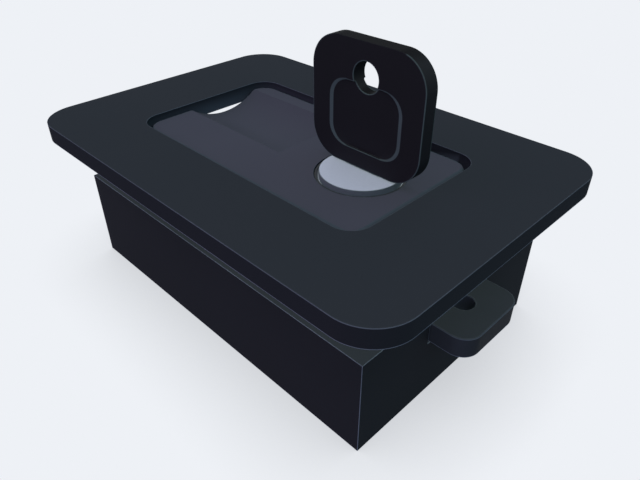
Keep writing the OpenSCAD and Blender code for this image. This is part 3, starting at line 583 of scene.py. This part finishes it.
# Key blade: stamped from nickel silver strip, its edges milled to the code, with a tang in the head.
# Nickel silver is a pale, slightly yellow metal, with the strip's rolling lines along the blade.
NICKEL = "#b9bab5"
NICKEL_DARK = "#9b9c98"
nickel = worked_metal("nickel_silver", NICKEL_DARK, NICKEL, roughness=0.3, pitch_mm=0.2,
                      stretch=(1, 1, 0.15))
softened("key_blade", nickel, edge_mm=0.12)

# Key head: moulded over the blade's tang, with a ring hole and a shallow thumb recess in each face.
# A darker plastic than the latch's, with a painted highlight along its edges and painted shade on top,
# where it faces the lamp.
KEY = "#24272a"
KEY_LIGHT = "#272a2e"
KEY_EDGE = "#566b6c"
key_plastic = moulded("moulded_key", KEY, KEY_LIGHT, KEY_EDGE,
                      grain_mm=0.3, roughness=0.5, gloss=0.008, mottle_mm=14)

# The recess's left and right edges slope in over a narrow lip, which gets a painted highlight.
KEY_EDGE_MM = 0.12
KEY_FADE_MM = 0.15
KEY_UPWARD_HIGHLIGHT = 0.5
RECESS_LIP_MM = 0.2
bm = merged("key_head")
painted_face = bm.faces.layers.int.new("painted_face")
low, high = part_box("key_head")
for face in bm.faces:
    depths = [min(vert.co.y - low.y, high.y - vert.co.y) / MM for vert in face.verts]
    face[painted_face] = int(LEVEL_MM < max(depths) < RECESS_LIP_MM)
round_edges(bm, KEY_EDGE_MM, KEY_FADE_MM, KEY_UPWARD_HIGHLIGHT)

# The top is painted darker as far as it faces up, as painted shade, and its top edges get no painted
# highlight.
UNMARKED_TOP_MM = 0.28
SHADED_FROM = 0.75
mark = bm.verts.layers.float["arris"]
painted_shade = bm.verts.layers.float.new("painted_shade")
for vert in bm.verts:
    vert[painted_shade] = max(vert.normal.z - SHADED_FROM, 0) / (1 - SHADED_FROM)
    if vert.co.z > high.z - UNMARKED_TOP_MM * MM:
        vert[mark] = 0
finished("dressed_key_head", bm, key_plastic, "key_head")

# Floor, backdrop and light: a pale studio floor and sky, seen bright by the camera, in gloss and
# through glass. What the part gets is a weak sky, violet on one side and teal on the other, and one
# broad lamp overhead. The lamp casts no shadow, and ambient occlusion shades the floor near the part.
FLOOR = "#eef1f6"
FLOOR_DULL = "#8a8c90"
FLOOR_SIZE_M = 6.0
SHADOW_REACH_MM = 22
SHADOW_DEPTH = 0.46
SHADOW_SAMPLES = 16


def plain_view(tree):
    """One for a ray that the camera sees straight, in gloss or through glass, and zero for light."""
    path = add(tree, "ShaderNodeLightPath")
    seen = add(tree, "ShaderNodeMath", {"operation": "MAXIMUM"},
               links={0: path.outputs["Is Camera Ray"], 1: path.outputs["Is Glossy Ray"]})
    seen = add(tree, "ShaderNodeMath", {"operation": "MAXIMUM"},
               links={0: seen.outputs["Value"], 1: path.outputs["Is Transmission Ray"]})
    return seen.outputs["Value"]


bm = bmesh.new()
bmesh.ops.create_grid(bm, x_segments=1, y_segments=1, size=FLOOR_SIZE_M / 2)
mesh = bpy.data.meshes.new("floor")
bm.to_mesh(mesh)
bm.free()
floor = bpy.data.objects.new("floor", mesh)
bpy.context.scene.collection.objects.link(floor)

paint = bpy.data.materials.new("studio_floor")
paint.use_nodes = True
tree = paint.node_tree
tree.nodes.clear()
near = add(tree, "ShaderNodeAmbientOcclusion", {"samples": SHADOW_SAMPLES},
           {"Distance": SHADOW_REACH_MM * MM})
shade = add(tree, "ShaderNodeMapRange", values={"To Min": 1 - SHADOW_DEPTH, "To Max": 1},
            links={"Value": near.outputs["AO"]})
bright = add(tree, "ShaderNodeEmission", values={"Color": srgb(FLOOR)},
             links={"Strength": shade.outputs["Result"]})
dull = add(tree, "ShaderNodeBsdfDiffuse", values={"Color": srgb(FLOOR_DULL)})
both = add(tree, "ShaderNodeMixShader",
           links={0: plain_view(tree), 1: dull.outputs["BSDF"], 2: bright.outputs["Emission"]})
add(tree, "ShaderNodeOutputMaterial", links={"Surface": both.outputs["Shader"]})
floor.data.materials.append(paint)

# The sky's tint runs across the part, from violet beyond its -X -Y corner to teal beyond its +X +Y one.
SKY_VIOLET = (0.74, 0.47, 0.75, 1)
SKY_TEAL = (0.12, 0.31, 0.32, 1)
SKY_ACROSS = (0.707, 0.707, 0)
world = bpy.data.worlds.new("studio_sky")
bpy.context.scene.world = world
world.use_nodes = True
tree = world.node_tree
tree.nodes.clear()
pale = add(tree, "ShaderNodeBackground", values={"Color": srgb(FLOOR), "Strength": 1.0})
direction = add(tree, "ShaderNodeTexCoord").outputs["Generated"]
across = add(tree, "ShaderNodeVectorMath", {"operation": "DOT_PRODUCT"}, {1: SKY_ACROSS}, {0: direction})
side = add(tree, "ShaderNodeMapRange", values={"From Min": -1, "From Max": 1},
           links={"Value": across.outputs["Value"]})
tint = add(tree, "ShaderNodeMix", {"data_type": "RGBA"}, {6: SKY_VIOLET, 7: SKY_TEAL},
           {0: side.outputs["Result"]})
weak = add(tree, "ShaderNodeBackground", links={"Color": tint.outputs[2]})
both = add(tree, "ShaderNodeMixShader",
           links={0: plain_view(tree), 1: weak.outputs["Background"], 2: pale.outputs["Background"]})
add(tree, "ShaderNodeOutputWorld", links={"Surface": both.outputs["Shader"]})

LAMP_TINT = (1, 1.04, 0.87)
LAMP_LIGHT = 1.78
LAMP_SPREAD_DEG = 30
lamp = bpy.data.lights.new("overhead_softbox", "SUN")
lamp.energy = LAMP_LIGHT
lamp.color = LAMP_TINT
lamp.angle = math.radians(LAMP_SPREAD_DEG)
lamp.use_shadow = False
overhead = bpy.data.objects.new("overhead_softbox", lamp)
bpy.context.scene.collection.objects.link(overhead)

# Camera: the photograph's view, along the diagonal of the part and down by atan(1 / sqrt 2).
# It stands 146 mm from the middle of the part's base, and takes in 45 degrees from top to bottom.
CAMERA_MM = (83.89, -77.36, 91.11)
PICTURE_PX = (640, 480)
VIEW_HEIGHT_DEG = 45
SENSOR_MM = 36
NEAREST_M = 0.005
camera_data = bpy.data.cameras.new("camera")
camera_data.sensor_width = SENSOR_MM
half_height = math.tan(math.radians(VIEW_HEIGHT_DEG / 2))
camera_data.lens = camera_data.sensor_width / 2 / (half_height * PICTURE_PX[0] / PICTURE_PX[1])
camera_data.clip_start = NEAREST_M
camera = bpy.data.objects.new("camera", camera_data)
bpy.context.scene.collection.objects.link(camera)
camera.location = Vector(CAMERA_MM) * MM
camera.rotation_euler = Vector((-1, 1, -1)).to_track_quat("-Z", "Y").to_euler()
bpy.context.scene.camera = camera
bpy.context.scene.view_settings.view_transform = "Standard"
